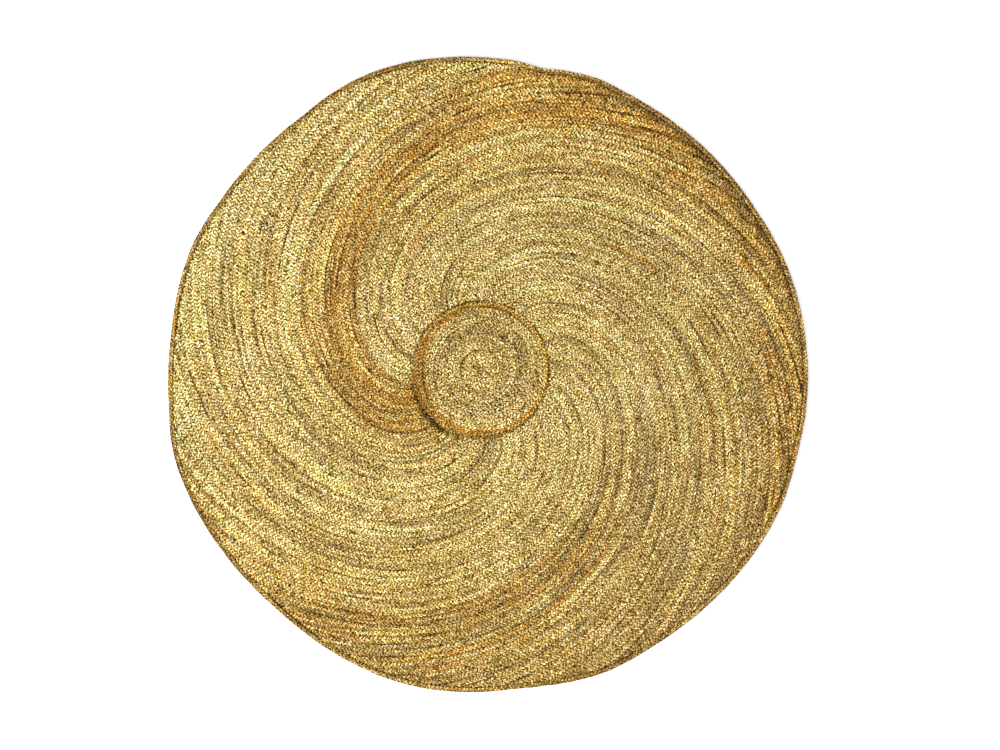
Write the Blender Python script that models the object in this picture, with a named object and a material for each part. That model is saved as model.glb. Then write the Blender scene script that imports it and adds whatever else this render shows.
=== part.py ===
"""Round jute rug: a coiled centre disc, a swirl of braids round it, and one braid sewn round the rim.

Metres, +Z up. The rug lies on z = 0 with the centre of its outline's box at the origin.
"""

import math

import bmesh
import bpy

# Rug
MEAN_RADIUS = 0.600
THICKNESS = 0.0070
GAP = 0.0003

# Centre disc: where it sits from the middle of the outline, and how big it is
DISC_RADIUS = 0.134
DISC_SHIFT_X = -0.0093
DISC_SHIFT_Y = 0.0105

# Edge braid
EDGE_WIDTH = 0.0090
EDGE_HEIGHT = 0.0075

# Rounding where the braids turn over at an edge, and steps round each outline
ROUND = 0.0030
RIM_STEPS = 216
DISC_STEPS = 96

# How the hand-sewn rim runs in and out of a true circle.
# Bearing is anticlockwise from +X in degrees, out is millimetres outside MEAN_RADIUS.
RIM_COLUMNS = ("bearing", "out")
RIM_TABLE = (
    (0, 5.6),
    (10, 4.5),
    (20, 2.4),
    (30, -3.4),
    (38, -5.8),
    (50, -7.0),
    (62, -6.8),
    (69, -3.8),
    (75, -7.5),
    (80, -12.2),
    (84, -6.2),
    (90, -2.3),
    (97, 3.2),
    (110, 9.2),
    (119, 5.2),
    (125, -0.9),
    (134, -1.9),
    (146, -0.6),
    (156, 5.1),
    (165, 2.3),
    (173, -1.3),
    (185, 0.8),
    (194, 7.3),
    (203, 3.8),
    (213, -2.3),
    (227, -8.1),
    (238, -5.0),
    (250, 0.4),
    (258, 1.1),
    (267, -2.1),
    (276, -6.4),
    (284, -2.1),
    (292, 2.6),
    (302, -0.4),
    (315, 1.5),
    (328, 5.5),
    (338, 7.3),
    (345, 4.0),
    (353, 5.2),
)

# Section of the slabs, from the flat underside up the turned-over side to the flat top:
# in is the distance in from the side, and up the height, both as shares of the rounding and thickness.
SIDE_COLUMNS = ("inward", "up")
SIDE_TABLE = (
    (1.00, 0.00),
    (0.25, 0.14),
    (0.00, 0.50),
    (0.25, 0.86),
    (1.00, 1.00),
)

# Section of the edge braid: across is a share of its half width, up a share of its height.
BRAID_COLUMNS = ("across", "up")
BRAID_TABLE = (
    (-0.55, 0.00),
    (0.55, 0.00),
    (0.95, 0.28),
    (1.00, 0.52),
    (0.72, 0.86),
    (0.00, 1.00),
    (-0.72, 0.86),
    (-1.00, 0.52),
    (-0.95, 0.28),
)

# Colour of each piece, linear
DISC_COLOR = (0.46, 0.31, 0.11, 1.0)
FIELD_COLOR = (0.50, 0.34, 0.12, 1.0)
EDGE_COLOR = (0.40, 0.27, 0.09, 1.0)


def clear_scene():
    """Removes everything the file starts with."""
    for thing in list(bpy.data.objects):
        bpy.data.objects.remove(thing, do_unlink=True)


def rim_out(bearing):
    """Metres that the rim stands outside the mean circle at a bearing, as a smooth closed curve."""
    count = len(RIM_TABLE)
    at = bearing % 360.0
    first = max(i for i in range(count) if RIM_TABLE[i][0] <= at)
    rows = [RIM_TABLE[(first + step) % count] for step in (-1, 0, 1, 2)]
    start = rows[1][0]
    places = [((row[0] - start + 180.0) % 360.0) - 180.0 for row in rows]
    outs = [row[1] for row in rows]
    span = places[2] - places[1]
    share = (at - start) / span
    slope_in = (outs[2] - outs[0]) / (places[2] - places[0]) * span
    slope_out = (outs[3] - outs[1]) / (places[3] - places[1]) * span
    square = share * share
    cube = square * share
    out = (
        (2 * cube - 3 * square + 1) * outs[1]
        + (cube - 2 * square + share) * slope_in
        + (3 * square - 2 * cube) * outs[2]
        + (cube - square) * slope_out
    )
    return out / 1000.0


def rim_point(step, inset):
    """Point of the outline at a step round it, set in along the bearing, from the rug's middle."""
    turn = 2 * math.pi * step / RIM_STEPS
    radius = MEAN_RADIUS + rim_out(math.degrees(turn)) - inset
    return radius * math.cos(turn), radius * math.sin(turn)


def middle_of_outline():
    """Centre of the outline's box, which the rug is shifted by so that it sits on the origin."""
    points = [rim_point(step, 0.0) for step in range(RIM_STEPS)]
    across = [point[0] for point in points]
    along = [point[1] for point in points]
    return (min(across) + max(across)) / 2, (min(along) + max(along)) / 2


def disc_point(turn, radius, shift):
    """Point of a circle round the centre disc's middle."""
    x = DISC_SHIFT_X - shift[0] + radius * math.cos(turn)
    y = DISC_SHIFT_Y - shift[1] + radius * math.sin(turn)
    return x, y


def make_material(name, color):
    """Plain jute material."""
    material = bpy.data.materials.new(name)
    material.use_nodes = True
    shader = material.node_tree.nodes["Principled BSDF"]
    shader.inputs["Base Color"].default_value = color
    shader.inputs["Roughness"].default_value = 0.9
    return material


def add_object(name, mesh, color):
    """Puts a finished bmesh in the scene as one smooth-shaded object with its own material."""
    bmesh.ops.recalc_face_normals(mesh, faces=mesh.faces)
    data = bpy.data.meshes.new(name)
    mesh.to_mesh(data)
    mesh.free()
    data.materials.append(make_material(name + "_jute", color))
    data.shade_smooth()
    thing = bpy.data.objects.new(name, data)
    bpy.context.scene.collection.objects.link(thing)
    return thing


def loft_closed(mesh, rings):
    """Joins rings of equal length into a closed tube of faces that ends where it starts."""
    made = [[mesh.verts.new(point) for point in ring] for ring in rings]
    count = len(made)
    for index in range(count):
        here = made[index]
        after = made[(index + 1) % count]
        for corner in range(len(here)):
            along = (corner + 1) % len(here)
            mesh.faces.new((here[corner], here[along], after[along], after[corner]))


def build_disc(shift):
    """Coiled medallion: a flat round slab whose side turns over."""
    mesh = bmesh.new()
    rings = []
    for inward, up in SIDE_TABLE:
        ring = []
        for step in range(DISC_STEPS):
            turn = 2 * math.pi * step / DISC_STEPS
            x, y = disc_point(turn, DISC_RADIUS - inward * ROUND, shift)
            ring.append(mesh.verts.new((x, y, up * THICKNESS)))
        rings.append(ring)
    for lower, upper in zip(rings, rings[1:]):
        for step in range(DISC_STEPS):
            after = (step + 1) % DISC_STEPS
            mesh.faces.new((lower[step], lower[after], upper[after], upper[step]))
    mesh.faces.new(list(reversed(rings[0])))
    mesh.faces.new(rings[-1])
    return add_object("center_disc", mesh, DISC_COLOR)


def build_field(shift):
    """Swirl of braids sewn side by side: a flat slab from the disc out to the edge braid."""
    mesh = bmesh.new()
    rings = []
    for step in range(RIM_STEPS):
        turn = 2 * math.pi * step / RIM_STEPS
        ring = []
        for inward, up in SIDE_TABLE:
            x, y = disc_point(turn, DISC_RADIUS + GAP + inward * ROUND, shift)
            ring.append((x, y, up * THICKNESS))
        for inward, up in reversed(SIDE_TABLE):
            x, y = rim_point(step, EDGE_WIDTH + GAP + inward * ROUND)
            ring.append((x - shift[0], y - shift[1], up * THICKNESS))
        rings.append(ring)
    loft_closed(mesh, rings)
    return add_object("swirl_field", mesh, FIELD_COLOR)


def build_edge(shift):
    """Braid sewn round the rim over the ends of the swirl."""
    mesh = bmesh.new()
    half = EDGE_WIDTH / 2
    rings = []
    for step in range(RIM_STEPS):
        ring = []
        for across, up in BRAID_TABLE:
            x, y = rim_point(step, half - across * half)
            ring.append((x - shift[0], y - shift[1], up * EDGE_HEIGHT))
        rings.append(ring)
    loft_closed(mesh, rings)
    return add_object("edge_braid", mesh, EDGE_COLOR)


def main():
    """Makes the three sewn pieces of the rug."""
    clear_scene()
    shift = middle_of_outline()
    build_disc(shift)
    build_field(shift)
    build_edge(shift)


main()
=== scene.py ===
"""Looks of the round jute rug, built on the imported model.

One stitch of a three-strand jute plait is modelled and repeated into a straight length of braid.
Copies of that braid are then coiled into the centre disc, laid out side by side in the swirl, and
sewn round the rim. Every piece rides on the rug's one body.
"""

from __future__ import annotations

import logging
import math
from dataclasses import dataclass
from enum import Enum

import bmesh
import bpy
import numpy as np
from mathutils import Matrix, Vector

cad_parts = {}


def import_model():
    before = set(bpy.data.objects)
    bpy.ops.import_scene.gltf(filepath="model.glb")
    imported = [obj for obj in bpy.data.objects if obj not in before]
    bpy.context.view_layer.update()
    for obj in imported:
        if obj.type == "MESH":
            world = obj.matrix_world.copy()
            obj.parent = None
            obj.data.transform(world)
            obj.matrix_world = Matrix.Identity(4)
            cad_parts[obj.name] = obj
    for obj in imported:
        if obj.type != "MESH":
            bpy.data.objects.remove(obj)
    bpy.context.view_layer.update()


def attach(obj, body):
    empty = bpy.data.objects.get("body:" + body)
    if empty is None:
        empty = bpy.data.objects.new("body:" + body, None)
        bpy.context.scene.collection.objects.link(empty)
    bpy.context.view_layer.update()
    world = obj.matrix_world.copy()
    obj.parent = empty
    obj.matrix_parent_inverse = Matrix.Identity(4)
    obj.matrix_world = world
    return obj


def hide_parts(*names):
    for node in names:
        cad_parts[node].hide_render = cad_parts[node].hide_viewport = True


LOG = logging.getLogger("jute_rug")
BODY = "root"
TURN = 2 * math.pi
SEED = 4117

Piece = bpy.types.Object
Socket = bpy.types.NodeSocket
Random = np.random.Generator
Array = np.ndarray
Items = bpy.types.bpy_prop_collection

MEAN_RADIUS = 0.600
DISC_RADIUS = 0.134
DISC_SHIFT = (-0.0093, 0.0105)
FIELD_HEIGHT = 0.0070
EDGE_WIDTH = 0.0090
EDGE_HEIGHT = 0.0075
STITCH = 0.0072
ROUND = 12  # steps from strand to strand round a braid's section
BRAIDS = 81
STOCK_STITCHES = 184  # enough for the longest braid of the swirl
BRAID_WIDTH = 0.0107
COIL_WIDTH = 0.0103
LOOSE_WIDTH = 0.0115  # before the sewing pulls the braids together
BASE_RADIUS = BRAIDS * BRAID_WIDTH / TURN


# Yarn


def linear(red: int, green: int, blue: int) -> tuple[float, ...]:
    """Linear colour of a shade given as it looks on a screen, 0 to 255."""
    parts = [value / 255.0 for value in (red, green, blue)]
    return tuple(p / 12.92 if p <= 0.04045 else ((p + 0.055) / 1.055) ** 2.4 for p in parts)


class Shade(Enum):
    """Shades that bundles of jute come in before they are plaited."""

    CREAM = linear(250, 232, 172)
    STRAW = linear(238, 212, 140)
    GOLD = linear(228, 186, 96)
    TAN = linear(208, 170, 100)
    RUST = linear(198, 132, 22)
    OLIVE = linear(186, 168, 106)
    BROWN = linear(146, 106, 46)
    BLACK = linear(66, 46, 20)


PALETTE = np.array([shade.value for shade in Shade])


class Mix(Enum):
    """Percent of each shade in a lot of yarn, in the order of Shade."""

    PALE = (30, 42, 13, 8, 1, 5, 1, 0)
    STRAW = (20, 36, 16, 14, 2, 9, 2, 1)
    TAN = (13, 28, 19, 21, 4, 10, 4, 1)
    DULL = (12, 22, 10, 26, 3, 17, 8, 2)
    HONEY = (18, 34, 34, 6, 6, 1, 1, 0)
    GINGER = (8, 16, 50, 4, 19, 1, 2, 0)
    AMBER = (10, 20, 38, 13, 14, 3, 2, 0)
    UMBER = (6, 14, 28, 20, 15, 7, 8, 2)
    BROWN = (5, 15, 16, 25, 11, 12, 12, 4)
    DEEP = (2, 8, 12, 26, 10, 16, 24, 2)
    DUSKY = (4, 10, 8, 26, 5, 27, 18, 2)
    FLECKED = (14, 32, 10, 16, 1, 13, 4, 10)

    @property
    def shares(self) -> Array:
        """The shares as an array that adds up to one."""
        given = np.array(self.value, float)
        return given / given.sum()


@dataclass(frozen=True)
class Lot:
    """Neighbouring braids of the swirl that were plaited from the same yarn.

    Attributes:
        name: Name of the lot.
        first: Number of the first braid, counted anticlockwise from +X.
        last: Number of the last braid.
        near: Yarn next to the centre disc.
        middle: Yarn halfway out.
        far: Yarn next to the rim.
    """

    name: str
    first: int
    last: int
    near: Mix
    middle: Mix
    far: Mix


LOTS = (
    Lot("a", 0, 4, Mix.STRAW, Mix.BROWN, Mix.BROWN),
    Lot("b", 5, 10, Mix.STRAW, Mix.DULL, Mix.DUSKY),
    Lot("c", 11, 16, Mix.STRAW, Mix.TAN, Mix.DUSKY),
    Lot("d", 17, 22, Mix.STRAW, Mix.STRAW, Mix.DUSKY),
    Lot("e", 23, 28, Mix.STRAW, Mix.STRAW, Mix.DUSKY),
    Lot("f", 29, 34, Mix.STRAW, Mix.STRAW, Mix.BROWN),
    Lot("g", 35, 38, Mix.STRAW, Mix.HONEY, Mix.UMBER),
    Lot("h", 39, 42, Mix.STRAW, Mix.HONEY, Mix.UMBER),
    Lot("i", 43, 47, Mix.UMBER, Mix.GINGER, Mix.UMBER),
    Lot("j", 48, 51, Mix.UMBER, Mix.HONEY, Mix.GINGER),
    Lot("k", 52, 57, Mix.TAN, Mix.STRAW, Mix.HONEY),
    Lot("l", 58, 63, Mix.STRAW, Mix.STRAW, Mix.PALE),
    Lot("m", 64, 69, Mix.STRAW, Mix.STRAW, Mix.PALE),
    Lot("n", 70, 75, Mix.STRAW, Mix.TAN, Mix.PALE),
    Lot("o", 76, 80, Mix.STRAW, Mix.TAN, Mix.TAN),
)


STREAKS = (
    # number of a braid, metres from the disc where it stands out from its lot, yarn there
    (1, 0.46, 0.95, Mix.BROWN),
    (3, 0.42, 1.05, Mix.UMBER),
    (7, 0.45, 1.10, Mix.UMBER),
    (9, 0.75, 1.15, Mix.BROWN),
    (11, 0.12, 0.38, Mix.PALE),
    (21, 0.50, 0.75, Mix.UMBER),
    (25, 0.36, 0.48, Mix.BROWN),
    (28, 0.12, 0.26, Mix.PALE),
    (32, 0.90, 1.15, Mix.UMBER),
    (35, 0.13, 0.38, Mix.UMBER),
    (43, 0.38, 1.00, Mix.AMBER),
    (44, 0.25, 0.40, Mix.UMBER),
    (52, 0.48, 0.75, Mix.PALE),
    (57, 0.36, 0.70, Mix.PALE),
)


# Help with operators and meshes


def deselect() -> None:
    """Leaves nothing selected, because an operator works on all that is."""
    active = bpy.context.view_layer.objects.active
    if active and active.mode != "OBJECT":
        bpy.ops.object.mode_set(mode="OBJECT")
    bpy.ops.object.select_all(action="DESELECT")


def pick(*pieces: Piece) -> None:
    """Selects only these objects and makes the first one active."""
    deselect()
    for piece in pieces:
        piece.select_set(True)
    bpy.context.view_layer.objects.active = pieces[0]


def apply_all(piece: Piece) -> None:
    """Applies an object's modifiers in order."""
    pick(piece)
    for modifier in list(piece.modifiers):
        bpy.ops.object.modifier_apply(modifier=modifier.name)


def copy_of(piece: Piece, name: str) -> Piece:
    """Copies an object, with a mesh of its own."""
    twin = piece.copy()
    twin.data = piece.data.copy()
    twin.name = twin.data.name = name
    bpy.context.scene.collection.objects.link(twin)
    return twin


def join(pieces: list[Piece], name: str) -> Piece:
    """Joins objects into the first of them and names the result."""
    pick(*pieces)
    bpy.ops.object.join()
    pieces[0].name = pieces[0].data.name = name
    return pieces[0]


def gather(items: Items, key: str, width: int, kind: type = float) -> Array:
    """Reads a property of so many numbers from each item of a mesh, one row each."""
    values = np.empty(len(items) * width, kind)
    items.foreach_get(key, values)
    return values.reshape(-1, width)


def points_of(piece: Piece) -> Array:
    """Vertex places of a mesh object, one row each."""
    return gather(piece.data.vertices, "co", 3)


def move_points(piece: Piece, places: Array) -> None:
    """Puts a mesh object's vertices at new places."""
    piece.data.vertices.foreach_set("co", places.astype(np.float32).ravel())
    piece.data.update()


def read_layer(piece: Piece, name: str) -> Array:
    """Values of a whole-number attribute, one per face."""
    return gather(piece.data.attributes[name].data, "value", 1, np.int32)[:, 0]


def write_layer(piece: Piece, name: str, values: Array) -> None:
    """Stores whole numbers on the faces."""
    layers = piece.data.attributes
    layer = layers.get(name) or layers.new(name, "INT", "FACE")
    layer.data.foreach_set("value", values.astype(np.int32))


def plait_map(piece: Piece) -> tuple[Array, Array]:
    """Place of each face corner on the braid's own map, and how many corners each face has."""
    spots = gather(piece.data.uv_layers["plait"].uv, "vector", 2, np.float32)
    return spots, gather(piece.data.polygons, "loop_total", 1, np.int32)[:, 0]


def edit(piece: Piece) -> None:
    """Opens a piece in edit mode with nothing of it selected."""
    pick(piece)
    bpy.ops.object.mode_set(mode="EDIT")
    bpy.ops.mesh.select_all(action="DESELECT")


def delete_faces(piece: Piece, gone: Array) -> None:
    """Deletes the marked faces and closes the ends that this opens."""
    edit(piece)
    bpy.ops.mesh.select_mode(type="FACE")
    bpy.ops.object.mode_set(mode="OBJECT")
    piece.data.polygons.foreach_set("select", gone)
    bpy.ops.object.mode_set(mode="EDIT")
    bpy.ops.mesh.delete(type="FACE")
    bpy.ops.mesh.select_all(action="SELECT")
    bpy.ops.mesh.fill_holes(sides=0)
    bpy.ops.mesh.select_all(action="DESELECT")
    bpy.ops.object.mode_set(mode="OBJECT")


def rise(value: Array, low: float, high: float) -> Array:
    """0 below low, 1 above high, and a smooth rise between."""
    share = np.clip((value - low) / (high - low), 0.0, 1.0)
    return share * share * (3 - 2 * share)


def from_start(line: Array) -> Array:
    """Distance along a line at each of its points."""
    return np.concatenate([[0.0], np.cumsum(np.hypot(*np.diff(line, axis=0).T))])


def around(radius: Array, angle: Array) -> Array:
    """Points at these distances and bearings from a middle, one row each."""
    return np.stack([radius * np.cos(angle), radius * np.sin(angle)], axis=1)


def heading(ahead: Array) -> Array:
    """Directions of the steps along a line."""
    return ahead / np.hypot(*ahead.T)[:, None]


def ripple(rng: Random, along: Array, wave: float) -> Array:
    """A gentle random wave along a length, mostly between -1 and 1."""
    total = np.zeros_like(along)
    for term in range(5):
        turns = along * (1 + 0.9 * term) / wave + rng.random()
        total += np.sin(TURN * turns) / (1 + 0.6 * term)
    return total / 1.8


# Outline and paths


RIM_TABLE = (
    # bearing in degrees, millimetres out from the mean radius
    (0, 5.6), (10, 4.5), (20, 2.4), (30, -3.4), (38, -5.8), (50, -7.0), (62, -6.8), (69, -3.8),
    (75, -7.5), (80, -12.2), (84, -6.2), (90, -2.3), (97, 3.2), (110, 9.2), (119, 5.2),
    (125, -0.9), (134, -1.9), (146, -0.6), (156, 5.1), (165, 2.3), (173, -1.3), (185, 0.8),
    (194, 7.3), (203, 3.8), (213, -2.3), (227, -8.1), (238, -5.0), (250, 0.4), (258, 1.1),
    (267, -2.1), (276, -6.4), (284, -2.1), (292, 2.6), (302, -0.4), (315, 1.5), (328, 5.5),
    (338, 7.3), (345, 4.0), (353, 5.2),
)  # fmt: skip


class Outline:
    """The rug's uneven outline and the place of its centre disc.

    Attributes:
        middle: Middle of the outline's box, which the rug is centred on.
        disc: Middle of the centre disc.
        rim: Points all round the rim.
    """

    STEPS = 1440

    def __init__(self) -> None:
        """Works the outline out from the table."""
        bearing = np.arange(self.STEPS) / self.STEPS * TURN
        rim = around(MEAN_RADIUS + self.table_at(bearing), bearing)
        self.middle = (rim.min(axis=0) + rim.max(axis=0)) / 2
        self.rim = rim - self.middle
        self.disc = DISC_SHIFT - self.middle

    @staticmethod
    def table_at(bearing: Array) -> Array:
        """Metres out from the mean radius at each bearing, on a smooth curve through the table."""
        table = np.array(RIM_TABLE, float)
        table = np.concatenate([table[-2:] - (360, 0), table, table[:3] + (360, 0)])
        degrees = np.degrees(bearing) % 360
        here = np.searchsorted(table[:, 0], degrees, side="right") - 1
        (x0, y0), (x1, y1), (x2, y2), (x3, y3) = (table[here + step].T for step in (-1, 0, 1, 2))
        share = (degrees - x1) / (x2 - x1)
        climb = (y2 - y0) / (x2 - x0) * (x2 - x1)
        drop = (y3 - y1) / (x3 - x1) * (x2 - x1)
        square, cube = share**2, share**3
        out = (
            y1 * (2 * cube - 3 * square + 1)
            + climb * (cube - 2 * square + share)
            + y2 * (3 * square - 2 * cube)
            + drop * (cube - square)
        )
        return out / 1000

    def depth(self, x: Array, y: Array) -> Array:
        """How far points lie in from the rim."""
        east, north = x + self.middle[0], y + self.middle[1]
        return MEAN_RADIUS + self.table_at(np.arctan2(north, east)) - np.hypot(east, north)

    def from_disc(self, x: Array, y: Array) -> Array:
        """How far points lie from the disc's middle."""
        return np.hypot(x - self.disc[0], y - self.disc[1])

    def bearing(self, x: Array, y: Array) -> Array:
        """Bearing of points from the disc's middle, in degrees from 0 to 360."""
        return np.degrees(np.arctan2(y - self.disc[1], x - self.disc[0])) % 360


DRIFT_TABLE = (
    # metres from the disc, mm that every braid leans anticlockwise, mm of sway on top of that,
    # bearing in degrees where the sway is greatest
    (0.00, 0.0, 0.0, 266.0),
    (0.09, 0.0, 5.6, 266.0),
    (0.19, 0.4, 10.3, 276.0),
    (0.38, 2.6, 15.8, 294.0),
    (0.56, 7.7, 19.6, 307.0),
    (0.75, 13.7, 19.2, 318.0),
    (0.94, 20.1, 18.5, 331.0),
    (1.13, 28.0, 18.8, 337.0),
    (1.24, 33.0, 19.8, 338.0),
)


def drift(along: Array) -> list[Array]:
    """Lean, sway and bearing of the sway at each distance along a braid."""
    places, *columns = np.array(DRIFT_TABLE).T
    return [np.interp(along, places, column) for column in columns]


@dataclass
class SwirlPath:
    """Middle line of one braid of the swirl.

    Equal braids side by side round a disc follow the curve that a string draws as it unwinds
    from the disc. The sewn braids drift a little from it.

    Attributes:
        outline: The rug's outline.
        start: Bearing where the braid leaves the disc.
        tuck: Metres of braid under the disc's edge.
    """

    outline: Outline
    start: float
    tuck: float = 0.009

    def points(self, longest: float) -> Array:
        """Points every 4 mm from under the disc outwards.

        Args:
            longest: How far out they go.

        Returns:
            The points, one row each.
        """
        along = np.arange(-self.tuck, longest, 0.004)
        out = np.maximum(along, 0.0)
        turned = np.sqrt(2 * out / BASE_RADIUS)
        radius = BASE_RADIUS * np.sqrt(1 + turned**2) + np.minimum(along, 0.0)
        lean, sway, bearing = drift(out)
        aside = (lean + sway * np.cos(self.start - np.radians(bearing))) / 1000
        angle = self.start + aside / BASE_RADIUS - (turned - np.arctan(turned))
        return self.outline.disc + around(radius, angle)

    def spread(self, longest: float, at: Array) -> Array:
        """Room for the braid between its neighbours, as a share of the even width.

        Args:
            longest: How far out the braid goes.
            at: Distances along the braid to read it at.

        Returns:
            The share at each distance.
        """
        line = self.points(longest)
        half = TURN / BRAIDS / 2
        left, right = (SwirlPath(self.outline, self.start + turn) for turn in (half, -half))
        aside = left.points(longest) - right.points(longest)
        ahead = heading(np.gradient(line, axis=0))
        room = np.abs(ahead[:, 0] * aside[:, 1] - ahead[:, 1] * aside[:, 0])
        return np.interp(at, from_start(line), room / BRAID_WIDTH)


def follow(piece: Piece, points: Array, closed: bool = False) -> None:
    """Bends a straight braid along a line on the floor.

    Args:
        piece: The braid, which lies along +X.
        points: Points of the line.
        closed: Whether the line runs back to its start.
    """
    line = bpy.data.curves.new("line", "CURVE")
    line.dimensions = "2D"
    spline = line.splines.new("POLY")
    spline.points.add(len(points) - 1)
    flat = np.zeros((len(points), 4))
    flat[:, :2] = points
    flat[:, 3] = 1.0
    spline.points.foreach_set("co", flat.ravel())
    spline.use_cyclic_u = closed
    guide = bpy.data.objects.new("line", line)
    bpy.context.scene.collection.objects.link(guide)
    bend = piece.modifiers.new("bend", "CURVE")
    bend.object = guide
    bend.deform_axis = "POS_X"
    apply_all(piece)
    bpy.data.objects.remove(guide)
    bpy.data.curves.remove(line)


# The plait


@dataclass(frozen=True)
class Plait:
    """One stitch of the three-strand plait, and straight braid made by repeating it.

    Attributes:
        width: Width of the braid.
        pitch: Length of one stitch along the braid.
        height: Thickness of the braid.
        slant: How far a strand runs along the braid as it crosses half the width, as a share of
            that half width.
        crossing: How far a strand reaches past the middle before it goes under.
        rows: For the side, the shoulder, the crown and the middle: how far out it is, and how
            high a strand and the groove between strands are there, as shares.
        flank: Height of a strand's flank between its groove, 0, and its crown, 1.
    """

    width: float
    pitch: float
    height: float
    slant: float = 0.95
    crossing: float = 0.0009
    rows: tuple[tuple[float, float, float], ...] = (
        (1.00, 0.97, 0.64),
        (0.70, 1.00, 0.55),
        (0.36, 1.00, 0.55),
        (0.00, 0.94, 0.60),
    )
    flank: float = 0.74

    def corner(self, step: int, side: int) -> tuple[float, float, float]:
        """Place of one point of the stitch.

        Args:
            step: 0 to 4 along the stitch.
            side: -3 to 3 across the braid, 0 on the middle line.

        Returns:
            The point, with the stitch starting at x = 0.
        """
        out, crown, groove = self.rows[3 - abs(side)]
        across = out * self.width / 2 * (1 if side > 0 else -1)
        x = self.pitch * step / 4 - self.slant * abs(across)
        quarter = (step + 2 * (side < 0)) % 4
        lift = (0.0, self.flank, 1.0, self.flank)[quarter]
        if side == 0:
            across = (1, 0, -1, 0, 1)[step] * self.crossing
            lift = float(step % 2 == 0)
        return x, across, self.height * (groove + lift * (crown - groove))

    def stitch(self) -> Piece:
        """Models one stitch: a left and a right strand over the top, and the keel below."""
        deselect()
        bpy.ops.mesh.primitive_grid_add(x_subdivisions=4, y_subdivisions=6, size=1.0)
        piece = bpy.context.object
        piece.data.uv_layers.remove(piece.data.uv_layers[0])
        piece.data.uv_layers.new(name="plait")
        edit(piece)
        bpy.ops.mesh.select_mode(type="VERT")
        mesh = bmesh.from_edit_mesh(piece.data)
        column = mesh.faces.layers.int.new("column")
        later = mesh.faces.layers.int.new("later")
        plait = mesh.loops.layers.uv["plait"]
        for face in mesh.faces:
            middle = face.calc_center_median()
            face[column] = 0 if middle.y > 0 else 1
            face[later] = int(middle.y < 0 and middle.x > 0)
            face.smooth = True
            for loop in face.loops:
                way_round = (3 + round(loop.vert.co.y * 6)) / ROUND
                loop[plait].uv = (loop.vert.co.x + 0.5, way_round)
        for vertex in mesh.verts:
            step, side = round((vertex.co.x + 0.5) * 4), round(vertex.co.y * 6)
            vertex.co = self.corner(step, side)
            vertex.select = abs(side) == 3 and step in (1, 3)
        mesh.select_flush_mode()
        bmesh.update_edit_mesh(piece.data)
        bpy.ops.mesh.dissolve_verts()
        self.add_keel(piece)
        bpy.ops.object.mode_set(mode="OBJECT")
        return piece

    def add_keel(self, piece: Piece) -> None:
        """Bridges the two sides under the stitch and presses the new middle line to the floor."""
        bpy.ops.mesh.select_all(action="DESELECT")
        bpy.ops.mesh.select_mode(type="EDGE")
        mesh = bmesh.from_edit_mesh(piece.data)
        for edge in mesh.edges:
            edge.select_set(all(abs(v.co.y) > self.width * 0.499 for v in edge.verts))
        bmesh.update_edit_mesh(piece.data)
        bpy.ops.mesh.bridge_edge_loops(number_cuts=1, interpolation="LINEAR")
        mesh = bmesh.from_edit_mesh(piece.data)
        column = mesh.faces.layers.int["column"]
        later = mesh.faces.layers.int["later"]
        plait = mesh.loops.layers.uv["plait"]
        low = [
            face
            for face in mesh.faces
            if all(not 0.1 < abs(v.co.y) / self.width < 0.49 for v in face.verts)
            and any(abs(v.co.y) > self.width * 0.49 for v in face.verts)
        ]
        back = self.slant * self.width / 2
        inner = {v for face in low for v in face.verts if abs(v.co.y) < self.width * 0.1}
        for vertex in inner:
            vertex.co.x += back
            vertex.co.z = 0.0
        for face in low:
            face[column], face[later], face.smooth = 2, 0, False
            side = 0.5 if face.calc_center_median().y > 0 else 1.0
            for loop in face.loops:
                middle = loop.vert in inner
                along = loop.vert.co.x + (0.0 if middle else back)
                loop[plait].uv = (along / self.pitch, 0.75 if middle else side)
        bmesh.ops.recalc_face_normals(mesh, faces=mesh.faces)
        for edge in mesh.edges:
            edge.smooth = not all(abs(v.co.y) > self.width * 0.49 for v in edge.verts)
        bmesh.update_edit_mesh(piece.data)

    def braid(self, stitches: int, name: str) -> Piece:
        """Repeats the stitch into a straight braid along +X.

        Args:
            stitches: How many stitches long it is.
            name: Name of the piece.

        Returns:
            The braid, with the number of its stitch on every face.
        """
        piece = self.stitch()
        piece.name = piece.data.name = name
        faces = len(piece.data.polygons)
        corners = len(piece.data.loops)
        repeat = piece.modifiers.new("repeat", "ARRAY")
        repeat.count = stitches
        repeat.use_relative_offset = False
        repeat.use_constant_offset = True
        repeat.constant_offset_displace = (self.pitch, 0.0, 0.0)
        repeat.use_merge_vertices = True
        repeat.merge_threshold = self.pitch * 0.01
        apply_all(piece)
        copy = np.arange(len(piece.data.polygons)) // faces
        write_layer(piece, "copy", copy)
        write_layer(piece, "stitch", copy + read_layer(piece, "later"))
        spots, _ = plait_map(piece)
        spots[:, 0] += np.arange(len(spots)) // corners
        piece.data.uv_layers["plait"].uv.foreach_set("vector", spots.ravel())
        return piece

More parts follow.
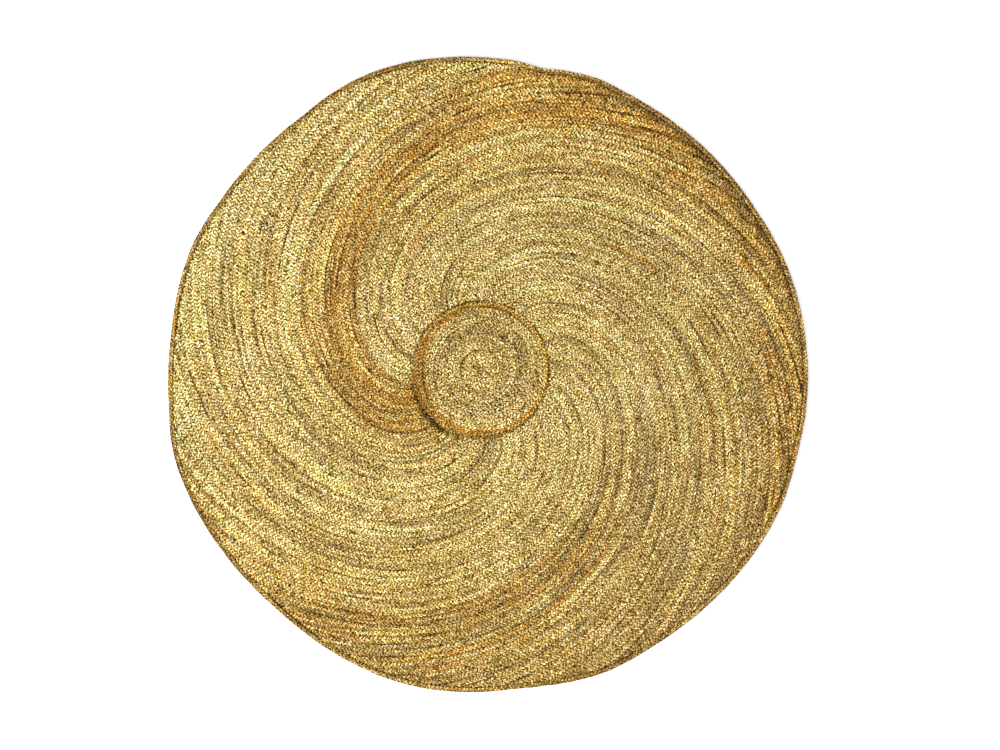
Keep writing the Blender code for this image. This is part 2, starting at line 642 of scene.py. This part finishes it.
    def worn(self, piece: Piece, rng: Random) -> None:
        """Makes a straight braid uneven: it wavers, and no two stitches stand equally high."""
        places = points_of(piece)
        x, y, z = places.T
        number = (x + self.slant * np.abs(y)) / self.pitch - 0.5 * (y < 0)
        index = np.clip(np.floor(number + 0.001).astype(int) + 1, 0, None)
        left, right = rng.normal(0, 1, (2, index.max() + 1))
        loft = np.where(y > 0, left[index], right[index])
        top = z > self.height * 0.1
        crown = z > self.height * 0.72
        z = z * (1 + crown * np.clip(0.07 * loft - 0.03, -0.18, 0.07))
        rough = rng.normal(0, 1, len(z))
        z = z + top * self.height * np.where(crown, 0.015, 0.03) * np.clip(rough, -2.0, 1.4)
        side = np.abs(y) > 0.45 * self.width
        for edge in (-1, 1):
            parted = rise(ripple(rng, x, 0.32), 0.70, 1.05) * (side & (y * edge > 0))
            z = z * (1 - 0.52 * parted)
            y = y * (1 - 0.04 * parted)
        y = y + 0.00025 * ripple(rng, x, 0.07) + crown * 0.00022 * loft
        middle = np.abs(y) < 0.4 * self.width
        x = x + middle * top * self.pitch * 0.10 * rng.normal(0, 1, len(x))
        x = x + self.pitch * 0.22 * ripple(rng, x, 0.045)
        move_points(piece, np.stack([x, y, np.minimum(z, self.height)], axis=1))


# Colour of the strands


@dataclass
class Dyer:
    """Gives every stitch of a braid the colour of the bundle of jute that it shows.

    Attributes:
        rng: Source of the chances.
        shortest: Shortest stretch of one bundle, in metres.
        longest: Longest stretch of one bundle.
        stray: Chance that a stitch shows fibres of another shade.
        jitter: How much lightness varies from stitch to stitch.
        tone: How much lightness varies from braid to braid.
        line_depth: How strongly thin lines along the braid differ in lightness.
        grain: How much lightness varies within a stitch.
        evenness: How near a strand of each shade comes to the lot's mean colour.
    """

    rng: Random
    shortest: float = 0.05
    longest: float = 0.34
    stray: float = 0.06
    jitter: float = 0.05
    tone: float = 0.085
    line_depth: float = 0.42
    grain: float = 0.08
    evenness: tuple[float, ...] = (0.82, 0.85, 0.80, 0.82, 0.55, 0.82, 0.75, 0.60)

    def bundles(self, shares: Array) -> Array:
        """Shade of one strand at each stitch.

        Args:
            shares: Shares of the shades at each stitch.

        Returns:
            The number of the shade at each stitch.
        """
        count = len(shares)
        picked = np.empty(count, int)
        start = 0
        while start < count:
            run = self.rng.uniform(self.shortest, self.longest) / STITCH
            end = min(count, start + max(2, int(run)))
            chances = shares[(start + end - 1) // 2].copy()
            chances[-1] = 0.0
            picked[start:end] = self.rng.choice(len(PALETTE), p=chances / chances.sum())
            start = end
        return picked

    def colours(self, piece: Piece, shares: Array, tint: Array) -> None:
        """Stores the colour of every face corner as dye, and its share of bark as weed.

        Args:
            piece: The braid.
            shares: Shares of the shades at each stitch, one row each.
            tint: Lightness of the braid at each stitch, about 1.
        """
        count = len(shares)
        number = np.minimum(read_layer(piece, "stitch"), count - 1)
        column = read_layer(piece, "column")
        strand = (number + np.array([0, 2, 1])[column]) % 3
        table = self.strand_colours(shares)
        chance = self.rng.random((3, count))
        spots, sizes = plait_map(piece)
        half = np.clip(np.rint(spots[:, 0] * 2).astype(int), 0, 2 * count - 1)
        row = np.rint(spots[:, 1] * ROUND).astype(int)
        stitch, strand = np.repeat(number, sizes), np.repeat(strand, sizes)
        tones, stains, weedy = self.lines(shares)
        stain = stains[row, half][:, None]
        dye = np.ones((len(stitch), 4))
        dye[:, :3] = table[strand, stitch] * (tones[row, half] * tint[stitch])[:, None]
        stained = dye[:, :3].mean(axis=1, keepdims=True) / 0.44 * np.array(Shade.RUST.value)
        dye[:, :3] = (1 - stain) * dye[:, :3] + stain * stained
        dye[:, :3] = np.clip(dye[:, :3], 0, 1)
        dye[:, 3] = chance[strand, stitch]
        layer = piece.data.attributes.new("dye", "FLOAT_COLOR", "CORNER")
        layer.data.foreach_set("color", dye.astype(np.float32).ravel())
        weed = piece.data.attributes.new("weed", "FLOAT", "CORNER")
        weed.data.foreach_set("value", weedy[row, half].astype(np.float32))

    def strand_colours(self, shares: Array) -> Array:
        """Colour of each of the three strands at each stitch."""
        count = len(shares)
        mean = shares @ PALETTE
        table = np.empty((3, count, 3))
        for each in range(3):
            shade = self.bundles(shares)
            even = np.array(self.evenness)[shade][:, None]
            table[each] = even * mean + (1 - even) * PALETTE[shade]
        light = self.rng.normal(1, self.jitter, (3, count))
        strays = self.rng.random((3, count)) < self.stray
        steps = (shares.cumsum(axis=1)[None] < self.rng.random((3, count, 1))).sum(axis=2)
        other = PALETTE[np.minimum(steps, len(PALETTE) - 1)]
        table[strays] = 0.5 * table[strays] + 0.5 * other[strays]
        table *= np.clip(light, 0.45, 1.5)[..., None]
        return table

    def lines(self, shares: Array) -> tuple[Array, Array, Array]:
        """Long thin lines that run with the braid, paler or darker, and some of them rusty.

        Args:
            shares: Shares of the shades at each stitch.

        Returns:
            Lightness, rust and share of bark for each row across the braid at each half stitch.
        """
        count = 2 * len(shares)
        along = np.arange(count) * STITCH / 2
        warm = np.repeat(shares[:, list(Shade).index(Shade.RUST)], 2)
        tones, stains, weedy = (np.full((ROUND + 1, count), fill) for fill in (1.0, 0.0, 0.0))
        for row in range(ROUND + 1):
            depth = self.line_depth * (1.3 if row in (0, 3, 6) else 1.0)
            wave = 1.20 * ripple(self.rng, along, 0.85) + 0.40 * ripple(self.rng, along, 0.11)
            tones[row] = np.exp(depth * wave)
            spread = ripple(self.rng, along, 0.30) + 4.0 * warm
            stains[row] = 0.80 * rise(spread, 1.0, 1.5)
            weedy[row] = 0.50 * rise(ripple(self.rng, along, 0.40), 0.90, 1.15)
        # dark rusty lines along the braid's two edges: partly rust in the yarn, partly painted
        # shade in the seams between braids
        for rows in ((0, 1), (6, 5)):
            seam_shade_and_rust = rise(ripple(self.rng, along, 0.60) + 2.0 * warm, 0.45, 0.85)
            for row, share in zip(rows, (1.0, 0.30)):
                tones[row] *= 1 - 0.84 * share * seam_shade_and_rust
                stains[row] = np.maximum(stains[row], 0.95 * share * seam_shade_and_rust)
        weedy += 0.01 + 2.6 * np.repeat(shares[:, -1], 2)
        tones *= np.clip(self.rng.normal(1, self.grain, tones.shape), 0.5, 1.5)
        for rows in (tones, stains, weedy):
            rows[ROUND] = rows[0]
        return tones, stains, weedy


def blend_mixes(stops: tuple[tuple[float, Mix], ...], along: Array) -> Array:
    """Shares of the shades at each place along a braid.

    Args:
        stops: Place and mix, in order along the braid.
        along: Places to read it at.

    Returns:
        One row of shares for each place.
    """
    places = [stop[0] for stop in stops]
    table = np.array([stop[1].shares for stop in stops])
    columns = [np.interp(along, places, table[:, each]) for each in range(table.shape[1])]
    return np.stack(columns, axis=1)


# Bake map


def add_bake_map(piece: Piece, run: int) -> None:
    """Lays the braids of a piece side by side in strips, so that the whole map is used.

    Args:
        piece: The piece, with the face layers of its braids.
        run: How many stitches one strip holds.
    """
    braid = read_layer(piece, "braid")
    strips = read_layer(piece, "copy") // run
    per_braid = int(strips.max()) + 1
    rows = per_braid * (int(braid.max()) + 1)
    row = braid * per_braid + strips
    spots, sizes = plait_map(piece)
    row, first = np.repeat(row, sizes), np.repeat(strips * run, sizes)
    u = (spots[:, 0] - first + 0.05) / (run + 0.1)
    v = (row + 0.04 + 0.92 * spots[:, 1]) / rows
    layer = piece.data.uv_layers.new(name="OFBake")
    packed = np.stack([0.002 + 0.996 * u, v], axis=1)
    layer.uv.foreach_set("vector", packed.astype(np.float32).ravel())


# Finish


@dataclass
class Nodes:
    """Adds shader nodes to a material, each joined to what feeds it.

    Attributes:
        tree: The material's node tree.
    """

    tree: bpy.types.NodeTree

    def add(
        self, kind: str, inputs: dict[int | str, object] | None = None, **settings: str
    ) -> bpy.types.Node:
        """Adds a node.

        Args:
            kind: Kind of node.
            inputs: For each input by name or number, its constant or the socket that feeds it.
            settings: Properties of the node.

        Returns:
            The node.
        """
        made = self.tree.nodes.new("ShaderNode" + kind)
        for name, value in settings.items():
            setattr(made, name, value)
        for name, value in (inputs or {}).items():
            if isinstance(value, Socket):
                self.tree.links.new(value, made.inputs[name])
            else:
                made.inputs[name].default_value = value
        return made

    def maths(self, operation: str, first: Socket, second: Socket | float) -> Socket:
        """Joins two grey values by an operation."""
        return self.add("Math", {0: first, 1: second}, operation=operation).outputs["Value"]

    def times(self, first: Socket, second: Socket | tuple[float, ...]) -> Socket:
        """Multiplies two colours, channel by channel."""
        made = self.add("VectorMath", {0: first, 1: second}, operation="MULTIPLY")
        return made.outputs["Vector"]

    def noise(self, vector: Socket, scale: float, detail: float) -> Socket:
        """Grey value of a noise on a vector."""
        inputs = {"Vector": vector, "Scale": scale, "Detail": detail}
        return self.add("TexNoise", inputs).outputs["Fac"]

    def ranged(
        self, value: Socket, to: tuple[float, float], start: float = 0.25, end: float = 0.75
    ) -> Socket:
        """Spreads a grey value from start to end over another range."""
        inputs = {"From Min": start, "From Max": end, "To Min": to[0], "To Max": to[1]}
        return self.add("MapRange", {"Value": value, **inputs}).outputs["Result"]

    def threads(
        self, plait: Socket, apart: Socket, scale: tuple[float, ...], detail: float
    ) -> Socket:
        """Noise that runs with the strands and differs from stitch to stitch.

        Args:
            plait: The braid's own map.
            apart: How far a stitch's noise lies from its neighbours'.
            scale: How fine the noise is across, along and out of the strands.
            detail: How much finer noise is added.

        Returns:
            Its grey value.
        """
        stretched = self.add("Mapping", {"Vector": plait, "Scale": scale}).outputs["Vector"]
        shift = self.add("CombineXYZ", {"Z": apart}).outputs["Vector"]
        moved = self.add("VectorMath", {0: stretched, 1: shift}).outputs["Vector"]
        return self.noise(moved, 1.0, detail)


@dataclass(frozen=True)
class JuteFinish:
    """Plaited jute: coarse dry fibre, painted shade in the grooves, painted light on the crowns.

    Attributes:
        name: Name of the material.
        height: Thickness of the braid it is on.
        tint: Multiplies the yarn's colour.
        groove: Lightness of the painted shade at the bottom of the grooves.
        crown: Lightness of the painted light on the crowns.
        shade_browning: How fast red, green and blue fall as the lightness falls, because light that
            bounces between fibres turns browner.
        soiling: How much darker the worn and dusty patches are.
        rough: Roughness of the fibre.
    """

    name: str
    height: float
    tint: tuple[float, float, float] = (0.594, 0.556, 0.366)
    groove: float = 0.05
    crown: float = 1.06
    shade_browning: tuple[float, float, float] = (1.0, 1.18, 2.4)
    soiling: float = 0.12
    rough: float = 0.82

    def build(self) -> bpy.types.Material:
        """Makes the material's nodes."""
        material = bpy.data.materials.new(self.name)
        material.use_nodes = True
        material.node_tree.nodes.clear()
        nodes = Nodes(material.node_tree)
        dye = nodes.add("Attribute", attribute_name="dye")
        plait = nodes.add("UVMap", uv_map="plait").outputs["UV"]
        place = nodes.add("TexCoord").outputs["Object"]
        apart = nodes.maths("MULTIPLY", dye.outputs["Alpha"], 40.0)
        fibre = nodes.threads(plait, apart, (15.0, 9.0, 1.0), 3.0)
        light = nodes.threads(plait, apart, (4.7, 16.0, 1.0), 0.4)
        light = nodes.ranged(light, (0.18, 1.64), 0.40, 0.54)
        for layer in (
            nodes.ranged(fibre, (0.66, 1.34)),
            # painted shade in the grooves and painted light on the crowns, from the height
            self.painted_groove_shade(nodes, place),
            nodes.ranged(nodes.noise(place, 5.5, 3.0), (1 - self.soiling, 1 + self.soiling)),
            self.bark(nodes, plait, apart),
        ):
            light = nodes.maths("MULTIPLY", light, layer)
        # painted bounce light: the darker the lightness, from painted shade and grain alike, the
        # browner the colour
        falls = [nodes.maths("POWER", light, power) for power in self.shade_browning]
        tone = nodes.add("CombineXYZ", dict(zip("XYZ", falls))).outputs["Vector"]
        colour = nodes.times(nodes.times(dye.outputs["Color"], tone), self.tint)
        bump = nodes.add("Bump", {"Strength": 0.55, "Distance": 0.0006, "Height": fibre})
        look = {
            "Base Color": colour,
            "Roughness": nodes.ranged(fibre, (self.rough + 0.12, self.rough - 0.10)),
            "Specular IOR Level": 0.08,
            "Sheen Weight": 0.03,
            "Sheen Roughness": 0.6,
            "Normal": bump.outputs["Normal"],
        }
        shader = nodes.add("BsdfPrincipled", look)
        nodes.add("OutputMaterial", {"Surface": shader.outputs["BSDF"]})
        return material

    def painted_groove_shade(self, nodes: Nodes, place: Socket) -> Socket:
        """Painted shade at the bottom of the grooves between strands, painted light on the crowns,
        by height.
        """
        height = nodes.add("SeparateXYZ", {"Vector": place}).outputs["Z"]
        low, high = 0.54 * self.height, 0.88 * self.height
        return nodes.ranged(height, (self.groove, self.crown), low, high)

    @staticmethod
    def bark(nodes: Nodes, plait: Socket, apart: Socket) -> Socket:
        """Slivers of dark bark left in the fibre: near 0 on a sliver and 1 elsewhere."""
        weed = nodes.add("Attribute", attribute_name="weed").outputs["Fac"]
        sliver = nodes.threads(plait, apart, (1.5, 9.5, 1.0), 0.0)
        over = nodes.maths("SUBTRACT", sliver, nodes.ranged(weed, (0.25, 0.55), 0.0, 1.0))
        return nodes.ranged(over, (0.06, 1.0), -0.01, 0.03)


# Pieces


def fill_caps(piece: Piece) -> None:
    """Gives the closed ends the colour of shaded jute, because they have no stitch of their own."""
    layer = piece.data.attributes["dye"]
    dye = gather(layer.data, "color", 4, np.float32)
    bare = dye[:, :3].sum(axis=1) == 0
    dye[bare] = (*Shade.TAN.value, 0.5)
    layer.data.foreach_set("color", dye.ravel())


@dataclass
class Braidwork:
    """What every sub-assembly of braid has.

    Attributes:
        outline: The rug's outline.
        plait: Sizes of the plait.
        finish: The jute finish.
    """

    outline: Outline
    plait: Plait
    finish: bpy.types.Material

    def complete(self, piece: Piece, node: str, slot: str, run: int) -> None:
        """Maps a piece for baking, gives it its finish and ties it to the rug's body.

        Args:
            piece: The piece.
            node: The CAD node that it stands in for.
            slot: The node's material slot; not used.
            run: How many stitches one strip of the bake map holds.
        """
        add_bake_map(piece, run)
        for name in ("copy", "stitch", "later", "column", "braid"):
            if name in piece.data.attributes:
                piece.data.attributes.remove(piece.data.attributes[name])
        piece.data.materials.clear()
        piece.data.materials.append(self.finish)
        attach(piece, BODY)
        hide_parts(node)
        triangles = sum(len(face.vertices) - 2 for face in piece.data.polygons)
        LOG.info("%s: %d faces, %d triangles", piece.name, len(piece.data.polygons), triangles)


@dataclass
class SwirlLot(Braidwork):
    """A lot of neighbouring braids of the swirl, from under the disc's edge to the rim.

    Attributes:
        lot: Which braids and which yarn.
        stock: Straight braid that the braids are copied from.
        hem: What is sewn on the lot; not used.
        hidden: How far in from the rim the braids end, under the edge braid.
        sunk: Bearing in degrees where the braids' ends lie lower beside the disc.
        rim_shade_bearing: Bearing in degrees of the middle of the painted shade by the rim.
    """

    lot: Lot
    stock: Piece
    hem: tuple[Piece, ...] = ()
    hidden: float = 0.0066
    sunk: float = 222.0
    rim_shade_bearing: float = 35.0

    def build(self) -> None:
        """Lays, trims and dyes the braids."""
        braids = [self.lay(number) for number in range(self.lot.first, self.lot.last + 1)]
        for order, braid in enumerate(braids):
            write_layer(braid, "braid", np.full(len(braid.data.polygons), order))
        piece = join(braids, f"swirl_lot_{self.lot.name}")
        x, y, _ = gather(piece.data.polygons, "center", 3).T
        inside = self.outline.from_disc(x, y) < DISC_RADIUS - 0.0030
        delete_faces(piece, inside | (self.outline.depth(x, y) < self.hidden))
        fill_caps(piece)
        self.complete(piece, "swirl_field", "field_jute", 34)
        self.flat_size()

    def flat_size(self) -> tuple[float, float]:
        """Width and length of the lot's braids laid straight side by side."""
        width, length = 0.0, 0.0
        for number in range(self.lot.first, self.lot.last + 1):
            path = SwirlPath(self.outline, TURN * number / BRAIDS)
            line = path.points(1.5)
            near = self.outline.from_disc(*line.T) > DISC_RADIUS - 0.0016
            line = line[near & (self.outline.depth(*line.T) > self.hidden)]
            braid = float(from_start(line)[-1])
            width += LOOSE_WIDTH * float(path.spread(1.5, np.arange(0.0, braid, 0.01)).mean())
            length = max(length, braid)
        LOG.info("lot %s lies flat at %.3f x %.3f m", self.lot.name, width, length)
        return width, length

    def lay(self, number: int) -> Piece:
        """Lays one braid along its path and presses down its two ends."""
        rng = np.random.default_rng((SEED, number))
        path = SwirlPath(self.outline, TURN * number / BRAIDS)
        piece = copy_of(self.stock, f"braid_{number}")
        self.plait.worn(piece, rng)
        places = points_of(piece)
        length = places[:, 0].max()
        places[:, 1] *= 1.05 * path.spread(length, places[:, 0])
        move_points(piece, places)
        self.dye(piece, number, rng, path)
        follow(piece, path.points(length))
        self.press_ends(piece)
        return piece

    def press_ends(self, piece: Piece) -> None:
        """Presses the braid down where the disc and the edge braid are sewn over its ends."""
        places = points_of(piece)
        x, y, z = places.T
        near = self.outline.from_disc(x, y)
        bearing = self.outline.bearing(x, y)
        open_side = np.cos(np.radians(bearing - self.sunk)).clip(0, 1) ** 6
        sunk = 1.0 - 0.31 * open_side
        climb = DISC_RADIUS + 0.0040 + 0.0090 * open_side
        disc_end = sunk + (1 - sunk) * rise(near, DISC_RADIUS - 0.001, climb)
        rim_end = 0.62 + 0.38 * rise(self.outline.depth(x, y), 0.0065, 0.0125)
        move_points(piece, np.stack([x, y, z * disc_end * rim_end], axis=1))

    def dye(self, piece: Piece, number: int, rng: Random, path: SwirlPath) -> None:
        """Colours the braid from its lot's yarn and its own streaks, with painted shade by the rim.
        """
        count = int(read_layer(piece, "stitch").max()) + 1
        along = np.arange(count) * STITCH
        lot = self.lot
        shares = blend_mixes(((0.10, lot.near), (0.60, lot.middle), (1.15, lot.far)), along)
        for braid, start, end, mix in STREAKS:
            if braid == number:
                within = rise(along, start - 0.03, start + 0.03)[:, None]
                within = within * (1 - rise(along, end - 0.03, end + 0.03))[:, None]
                shares = shares * (1 - within) + within * mix.shares
        dyer = Dyer(rng)
        tint = 1 + dyer.tone * (0.8 * rng.normal() + ripple(rng, along, 0.50))
        line = path.points(along[-1] + 0.01)
        run = from_start(line)
        depth = np.interp(along, run, self.outline.depth(*line.T))
        aside = np.interp(along, run, self.outline.bearing(*line.T)) - self.rim_shade_bearing
        # painted shade: the yarn darkens within a few centimetres of the rim round one bearing
        rim_shade = rise(np.cos(np.radians(aside)), 0.78, 0.93) * (1 - rise(depth, 0.010, 0.030))
        tint *= 1 - 0.55 * rim_shade
        dyer.colours(piece, shares, np.clip(tint, 0.45, 1.22))


DISC_RINGS = (
    # metres from the disc's middle, yarn there
    (0.006, Mix.DULL),
    (0.020, Mix.TAN),
    (0.060, Mix.STRAW),
    (0.068, Mix.FLECKED),
    (0.084, Mix.FLECKED),
    (0.092, Mix.STRAW),
    (0.108, Mix.TAN),
    (0.117, Mix.GINGER),
    (0.128, Mix.GINGER),
    (0.134, Mix.UMBER),
)


@dataclass
class CentreDisc(Braidwork):
    """The coiled braid in the middle.

    Attributes:
        turns: Turns of the coil.
        end: Bearing in degrees where the coil ends.
        taper: Turns over which the braid's end narrows.
    """

    turns: float = 13.0
    end: float = 262.0
    taper: float = 0.36

    def edge(self, turn: Array) -> Array:
        """Radius of the coil's outer side at each turn, which closes up into a circle."""
        left = (self.turns - 1 - turn) / self.taper
        closing = np.where(left > 30, left, np.log1p(np.exp(np.minimum(left, 30))))
        return DISC_RADIUS - 0.0002 - self.plait.width * self.taper * closing

    def build(self) -> None:
        """Coils, tapers and dyes the braid."""
        rng = np.random.default_rng((SEED, 500))
        turn = np.arange(0.06, self.turns - 0.12, 1 / 90)
        outer = self.edge(turn)
        inner = np.maximum(self.edge(turn - 1) * rise(turn, 0.15, 0.8), 0.0004)
        middle = (outer + inner) / 2
        angle = math.radians(self.end) - TURN * (self.turns - turn)
        points = self.outline.disc + around(middle, angle)
        along = from_start(points)
        width = outer - inner
        piece = self.plait.braid(int(along[-1] / STITCH), "center_coil")
        self.plait.worn(piece, rng)
        places = points_of(piece)
        share = np.interp(places[:, 0], along, width) / self.plait.width
        places[:, 1] *= 1.05 * share
        places[:, 2] *= np.sqrt(np.clip(share, 0.1, 1.0))
        places[:, 0] += 0.0045
        move_points(piece, places)
        self.dye(piece, rng, (along, middle, angle))
        follow(piece, points)
        write_layer(piece, "braid", np.zeros(len(piece.data.polygons)))
        piece = join([piece, self.knot(rng)], "center_coil")
        delete_faces(piece, np.zeros(len(piece.data.polygons), bool))
        fill_caps(piece)
        self.complete(piece, "center_disc", "disc_jute", 44)
        LOG.info("the coil's braid lies flat at %.4f x %.3f m", LOOSE_WIDTH, along[-1])

    def knot(self, rng: Random) -> Piece:
        """The braid's folded start, which fills the middle of the coil."""
        piece = self.plait.braid(4, "knot")
        self.plait.worn(piece, rng)
        Dyer(rng).colours(piece, np.tile(Mix.DULL.shares, (5, 1)), np.full(5, 0.9))
        places = points_of(piece)
        places[:, 0] = (places[:, 0] - places[:, 0].mean()) * 0.46 + self.outline.disc[0] - 0.0015
        places[:, 1] = places[:, 1] * 1.15 + self.outline.disc[1] - 0.0030
        places[:, 2] *= 0.90
        move_points(piece, places)
        write_layer(piece, "braid", np.ones(len(piece.data.polygons)))
        return piece

    def dye(self, piece: Piece, rng: Random, line: tuple[Array, ...]) -> None:
        """Colours the coil: greyish in the middle, straw, a dark-flecked ring, orange outside.

        Args:
            piece: The straight braid.
            rng: Source of the chances.
            line: Distance along the coil, radius and angle at its points.
        """
        along, middle, angle = line
        count = int(read_layer(piece, "stitch").max()) + 1
        place = np.arange(count) * STITCH
        radius = np.interp(place, along, middle)
        bearing = np.interp(place, along, angle)
        warm_side = 0.007 * np.cos(bearing - math.radians(205)) * rise(radius, 0.080, 0.110)
        shares = blend_mixes(DISC_RINGS, radius + warm_side)
        Dyer(rng).colours(piece, shares, 0.95 + 0.05 * ripple(rng, radius, 0.05))


@dataclass
class EdgeBraid(Braidwork):
    """The narrow braid sewn round the rim over the ends of the swirl."""

    def build(self) -> Piece:
        """Lays the braid round the rim, closes it and returns it."""
        rng = np.random.default_rng((SEED, 600))
        rim = self.outline.rim
        ahead = heading(np.roll(rim, -1, axis=0) - np.roll(rim, 1, axis=0))
        inward = np.stack([-ahead[:, 1], ahead[:, 0]], axis=1)
        points = rim + inward * (EDGE_WIDTH / 2 + 0.0002)
        gaps = np.hypot(*(np.roll(points, -1, axis=0) - points).T)
        length = float(gaps.sum())
        count = 3 * round(length / STITCH / 3)
        piece = self.plait.braid(count, "edge_braid_plait")
        self.plait.worn(piece, rng)
        places = points_of(piece)
        places[:, 0] *= length / (count * STITCH)
        move_points(piece, places)
        self.dye(piece, count, rng)
        follow(piece, points, closed=True)
        self.close(piece)
        write_layer(piece, "braid", np.zeros(len(piece.data.polygons)))
        self.complete(piece, "edge_braid", "edge_jute", 34)
        return piece

    @staticmethod
    def close(piece: Piece) -> None:
        """Joins the braid's last stitch to its first."""
        edit(piece)
        bpy.ops.mesh.select_all(action="SELECT")
        bpy.ops.mesh.remove_doubles(threshold=0.0004)
        bpy.ops.object.mode_set(mode="OBJECT")

    def dye(self, piece: Piece, count: int, rng: Random) -> None:
        """Colours the braid in mixed yarn, browner in some stretches."""
        along = np.arange(count + 1) * STITCH
        browner = np.clip(0.4 + 0.5 * ripple(rng, along, 0.9), 0, 1)[:, None]
        shares = (1 - browner) * Mix.BROWN.shares + browner * Mix.DEEP.shares
        Dyer(rng).colours(piece, shares, 0.92 + 0.06 * ripple(rng, along, 0.5))


# Studio


@dataclass
class Studio:
    """Pale floor, soft light from the lower left and a camera that looks straight down."""

    aim: tuple[float, float] = (0.0226, -0.0009)
    across: float = 1.883
    camera_height: float = 5.0

    def build(self) -> None:
        """Sets up the floor, the lights and the camera."""
        self.add_floor()
        self.add_light("key", (-3.4, -2.6, 3.2), 1.2, 420.0)
        self.add_light("fill", (2.4, 2.4, 3.6), 2.6, 60.0)
        world = bpy.data.worlds.new("studio")
        world.use_nodes = True
        sky = world.node_tree.nodes["Background"].inputs
        sky["Color"].default_value = (1, 1, 1, 1)
        sky["Strength"].default_value = 1.0
        bpy.context.scene.world = world
        bpy.context.scene.view_settings.view_transform = "Standard"
        self.add_camera()

    def add_floor(self) -> None:
        """A wide pale floor just under the rug."""
        deselect()
        bpy.ops.mesh.primitive_plane_add(size=14.0, location=(0, 0, -0.0004))
        floor = bpy.context.object
        floor.name = "floor"
        paint = bpy.data.materials.new("floor_paint")
        paint.use_nodes = True
        shader = paint.node_tree.nodes["Principled BSDF"]
        shader.inputs["Base Color"].default_value = (0.96, 0.96, 0.96, 1)
        shader.inputs["Roughness"].default_value = 0.9
        shader.inputs["Specular IOR Level"].default_value = 0.1
        floor.data.materials.append(paint)

    @staticmethod
    def add_light(
        name: str, place: tuple[float, float, float], size: float, power: float
    ) -> None:
        """A square soft light turned towards the rug."""
        lamp = bpy.data.lights.new(name, "AREA")
        lamp.shape = "SQUARE"
        lamp.size = size
        lamp.energy = power
        light = bpy.data.objects.new(name, lamp)
        light.location = place
        light.rotation_euler = (-Vector(place)).to_track_quat("-Z", "Y").to_euler()
        bpy.context.scene.collection.objects.link(light)

    def add_camera(self) -> None:
        """A long lens above the rug, as far away as shows the whole of it."""
        lens = bpy.data.cameras.new("camera")
        lens.sensor_width = 36.0
        lens.lens = 36.0 * self.camera_height / self.across
        camera = bpy.data.objects.new("camera", lens)
        camera.location = (*self.aim, self.camera_height)
        bpy.context.scene.collection.objects.link(camera)
        bpy.context.scene.camera = camera


def main() -> None:
    """Builds the rug's pieces in order."""
    logging.basicConfig(level=logging.INFO, format="%(name)s: %(message)s")
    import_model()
    outline = Outline()
    edge_plait = Plait(EDGE_WIDTH - 0.0004, STITCH, EDGE_HEIGHT)
    edge = EdgeBraid(outline, edge_plait, JuteFinish("edge_jute", EDGE_HEIGHT).build()).build()

    field_plait = Plait(BRAID_WIDTH, STITCH, FIELD_HEIGHT)
    field_finish = JuteFinish("field_jute", FIELD_HEIGHT).build()
    stock = field_plait.braid(STOCK_STITCHES, "stock")
    for lot in LOTS:
        hem = (edge,) if lot == LOTS[-1] else ()
        SwirlLot(outline, field_plait, field_finish, lot, stock, hem).build()
    bpy.data.objects.remove(stock)

    disc_plait = Plait(COIL_WIDTH, STITCH, FIELD_HEIGHT)
    CentreDisc(outline, disc_plait, JuteFinish("disc_jute", FIELD_HEIGHT).build()).build()

    Studio().build()


if __name__ == "__main__":
    main()
